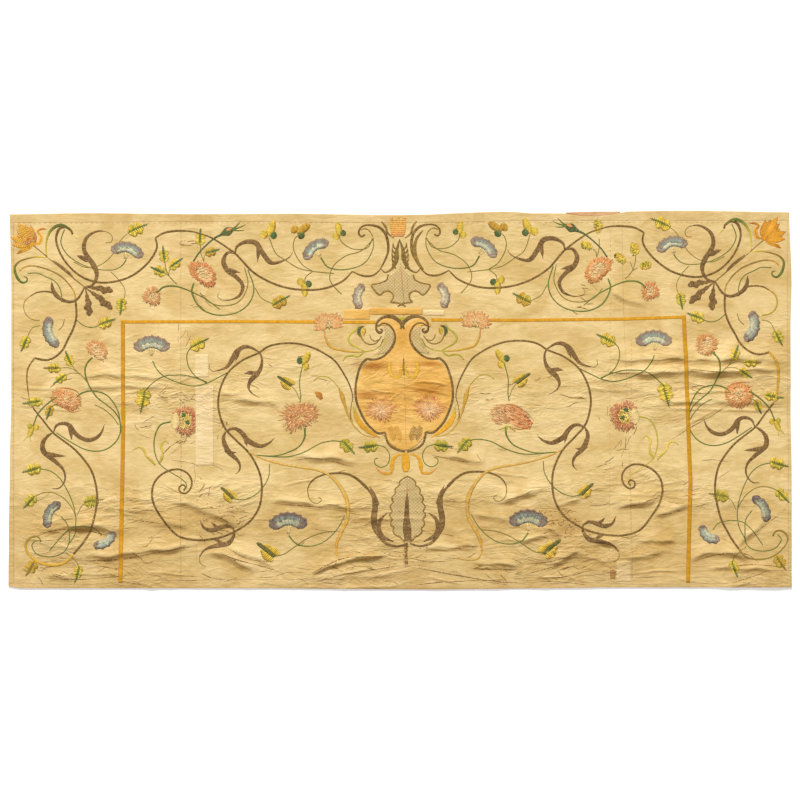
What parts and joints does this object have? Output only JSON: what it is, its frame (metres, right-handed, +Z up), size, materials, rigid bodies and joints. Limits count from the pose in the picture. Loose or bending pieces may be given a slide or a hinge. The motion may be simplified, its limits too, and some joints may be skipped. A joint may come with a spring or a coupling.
{
  "type": "embroidered silk altar frontal",
  "caption": "Wide rectangular silk altar frontal with scrolling flower embroidery, a shield-shaped centre and braid-edged fields, lying flat and creased.",
  "frame": {"origin": "on the surface the cloth lies on, under the middle of its outline", "axes": "+X to the right along the width, +Y towards the top edge, +Z up out of the embroidered face"},
  "size_m": [1.956, 0.946, 0.0107],
  "materials": {
    "silk_satin": "aged gold-cream silk satin, embroidered in coloured silk and tarnished metal cord, creased and split",
    "edge_band": "plain gold-cream silk band, duller than the ground, with a line of stitching",
    "lining": "peach-coloured plain lining",
    "gold_braid": "flat mustard-gold woven braid",
    "orange_satin": "warm orange-gold satin, less faded than the ground",
    "pale_silk": "pale cream silk, cut as repair patches"
  },
  "bodies": {
    "root": {"panel_outer_left": "silk_satin", "panel_inner_left": "silk_satin", "panel_inner_right": "silk_satin", "panel_outer_right": "silk_satin", "band_bottom": "edge_band", "band_top": "edge_band", "band_left": "edge_band", "band_right": "edge_band", "lining_edge": "lining", "braid_left": "gold_braid", "braid_right": "gold_braid", "cartouche_ground": "orange_satin", "orange_strip_left": "orange_satin", "orange_strip_middle": "orange_satin", "patch_tall": "pale_silk", "patch_small": "pale_silk", "patch_top": "pale_silk", "patch_hem": "pale_silk"}
  },
  "joints": []
}
